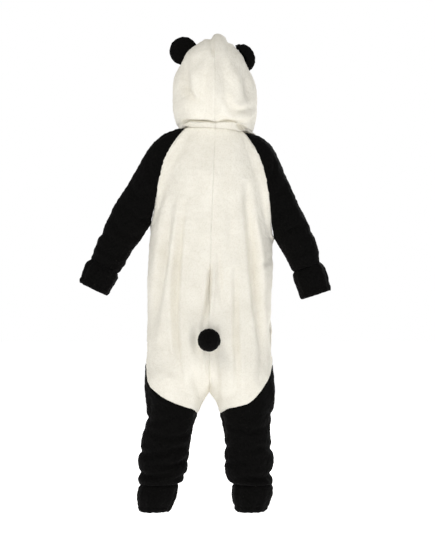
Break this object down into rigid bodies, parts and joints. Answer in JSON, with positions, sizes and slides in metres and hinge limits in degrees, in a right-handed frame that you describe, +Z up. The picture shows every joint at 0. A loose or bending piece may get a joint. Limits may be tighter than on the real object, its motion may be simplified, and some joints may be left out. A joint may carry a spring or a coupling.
{
  "type": "panda onesie",
  "caption": "Child's hooded one-piece plush suit, cream body and hood, black raglan sleeves and legs, round ears and tail, front zip.",
  "frame": {"origin": "middle of the neck seam, where the wearer's shoulders hold the suit", "axes": "+Z up the suit towards the hood, -Y out of the front with its zip, +X towards the suit's left sleeve"},
  "size_m": [0.6767, 0.2806, 1.2852],
  "materials": {
    "cream_plush": "long soft cream nap",
    "black_plush": "long soft black nap",
    "zip_tape": "woven cream tape",
    "zip_chain": "moulded cream teeth",
    "zip_metal": "satin nickel-coloured casting"
  },
  "bodies": {
    "suit": {"hood_left": "cream_plush", "hood_right": "cream_plush", "ear_left": "black_plush", "ear_right": "black_plush", "back_left": "cream_plush", "back_right": "cream_plush", "front_left": "cream_plush", "front_right": "cream_plush", "sleeve_left": "black_plush", "sleeve_right": "black_plush", "cuff_left": "black_plush", "cuff_right": "black_plush", "leg_back_left": "black_plush", "leg_front_left": "black_plush", "leg_back_right": "black_plush", "leg_front_right": "black_plush", "ankle_cuff_left": "black_plush", "ankle_cuff_right": "black_plush", "tail": "black_plush", "zip_tape_left": "zip_tape", "zip_tape_right": "zip_tape", "zip_chain": "zip_chain", "zip_slider": "zip_metal"},
    "pull": {"zip_pull": "zip_metal"}
  },
  "joints": [
    {"name": "pull_swing", "type": "hinge", "parent": "suit", "child": "pull", "pos_m": [0.00064, -0.08805, -0.04055], "axis": [-1, 0, 0], "range_deg": [0, 150]}
  ]
}
